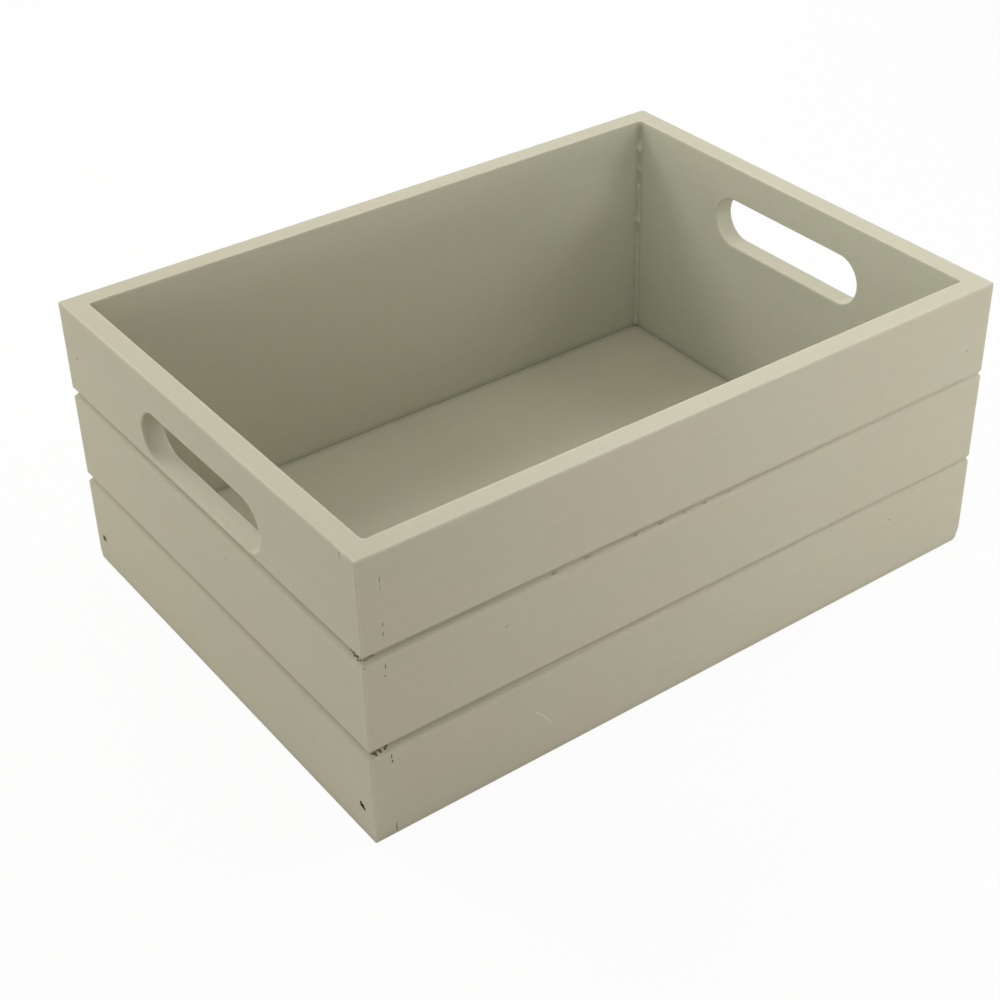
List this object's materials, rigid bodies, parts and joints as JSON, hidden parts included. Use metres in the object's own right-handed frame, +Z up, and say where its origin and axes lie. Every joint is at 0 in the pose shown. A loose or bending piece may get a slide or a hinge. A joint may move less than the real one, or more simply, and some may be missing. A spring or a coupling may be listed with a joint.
{
  "type": "wooden storage box",
  "caption": "Open rectangular painted wooden box with finger-jointed corners, grooved outer walls, a recessed base and a round-ended hand slot in each end.",
  "frame": {"origin": "middle of the footprint, on the surface that the box stands on", "axes": "+X along the length towards the right end, +Y from the front to the back, +Z up"},
  "size_m": [0.36, 0.26, 0.15],
  "materials": {
    "painted_wood": "matt chalk paint, grey-green putty colour",
    "painted_base": "matt chalk paint, grey-green putty colour"
  },
  "bodies": {
    "root": {"front_board": "painted_wood", "back_board": "painted_wood", "left_end_board": "painted_wood", "right_end_board": "painted_wood", "base_board": "painted_base"}
  },
  "joints": []
}
